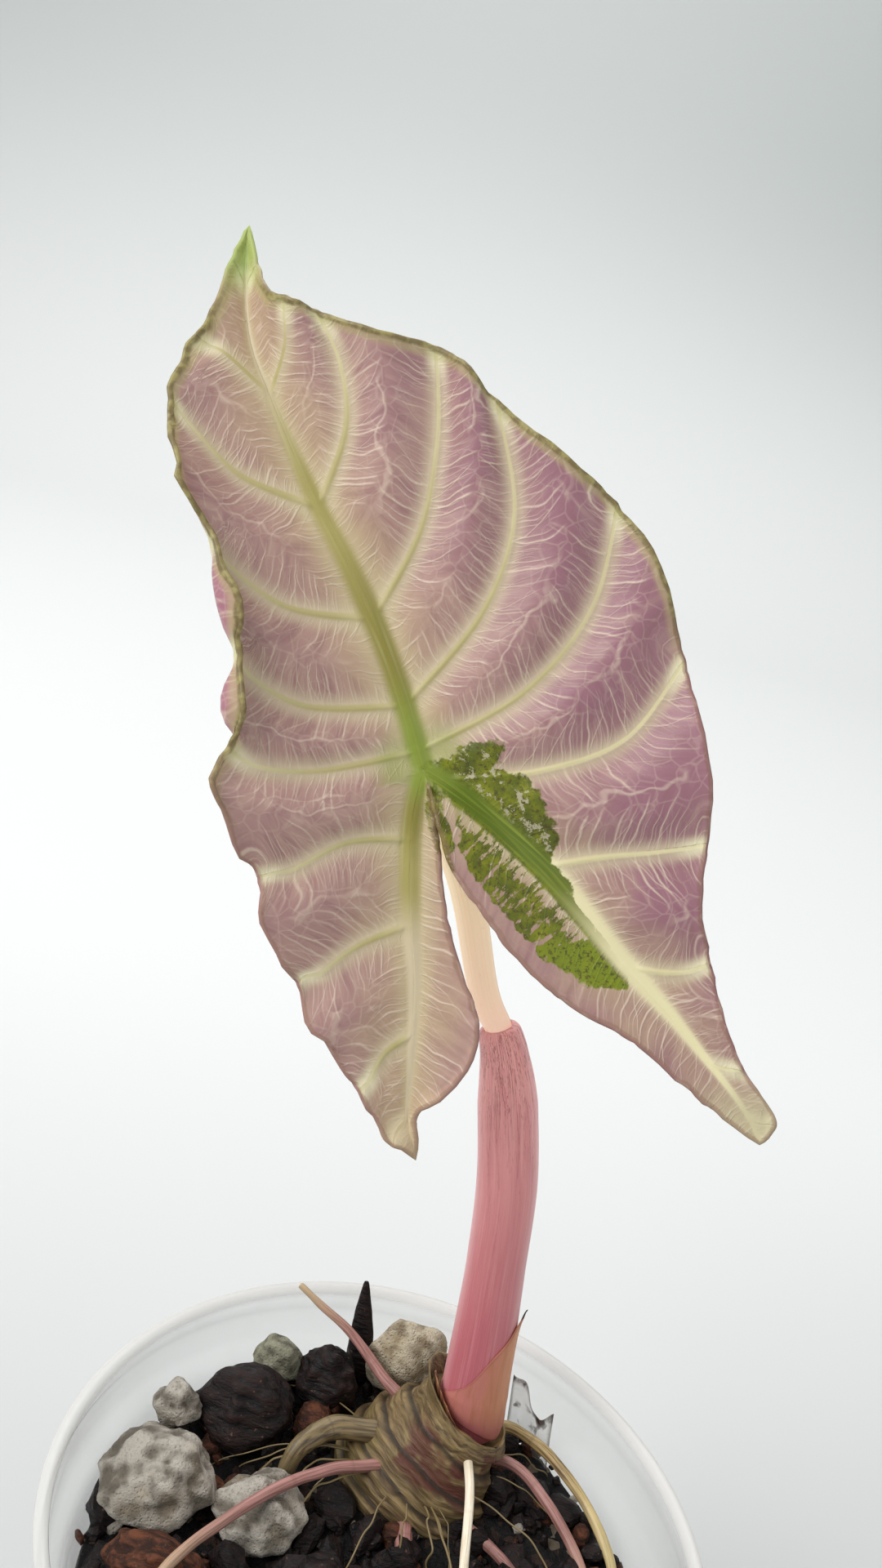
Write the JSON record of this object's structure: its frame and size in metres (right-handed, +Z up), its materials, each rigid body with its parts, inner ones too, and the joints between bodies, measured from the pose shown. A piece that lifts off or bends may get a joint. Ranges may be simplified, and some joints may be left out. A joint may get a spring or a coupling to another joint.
{
  "type": "potted pink dragon alocasia",
  "caption": "Aroid seedling with a pink arrow-shaped leaf on a pink sheath, its ringed corm and roots resting in a clear cup of chunky growing mix.",
  "frame": {"origin": "centre of the cup's flat underside", "axes": "+Z up out of the cup, -Y towards the side that the leaf faces, +X to the viewer's right"},
  "size_m": [0.1168, 0.1008, 0.2635],
  "materials": {
    "clear_cup": "thin clear moulded plastic, glossy",
    "dark_mix": "damp black-brown fines of the growing mix",
    "pumice": "pale porous pumice, matt",
    "brown_bark": "red-brown bark, matt",
    "dark_bark": "dark charred bark, matt",
    "grey_stone": "grey-green grit stone, matt",
    "pale_stone": "cream grit stone, matt",
    "corm_skin": "olive-tan fibrous skin with ring scars",
    "pink_root": "fleshy pink root, satin",
    "olive_root": "old olive-brown root, matt",
    "cream_root": "new cream root, satin",
    "yellow_root": "yellow-brown root, satin",
    "sheath_pink": "pink sheath with fine red flecks, satin",
    "bract_tan": "drying tan bract, satin",
    "petiole_cream": "cream to peach leaf stalk, satin",
    "blade_pink": "mauve-pink leaf with cream veins and an olive edge, satin",
    "papery_skin": "thin clear-brown papery skin"
  },
  "bodies": {
    "root": {"cup": "clear_cup", "growing_mix": "dark_mix", "corm": "corm_skin", "sheath": "sheath_pink", "bract": "bract_tan", "petiole": "petiole_cream", "leaf_blade": "blade_pink", "papery_skin": "papery_skin", "root_back_pink": "pink_root", "root_left_pink": "pink_root", "root_left_olive": "olive_root", "root_front_cream": "cream_root", "root_right_pink": "pink_root", "root_right_yellow": "yellow_root", "root_low_pink": "pink_root", "root_short_red": "pink_root", "splinter": "dark_bark", "stick": "brown_bark", "pumice_left": "pumice", "pumice_middle": "pumice", "pumice_front_left": "pumice", "pumice_back_left": "pumice", "bark_left": "brown_bark", "bark_back_left": "dark_bark", "bark_back": "dark_bark", "stone_back": "grey_stone", "stone_cream": "pale_stone", "chunk_01": "pumice", "chunk_02": "dark_bark", "chunk_03": "pumice", "chunk_04": "brown_bark", "chunk_05": "pumice", "chunk_06": "dark_bark", "chunk_07": "pumice", "chunk_08": "brown_bark", "chunk_09": "pumice", "chunk_10": "dark_bark", "chunk_11": "pumice", "chunk_12": "brown_bark", "chunk_13": "pumice", "chunk_14": "dark_bark"}
  },
  "joints": []
}
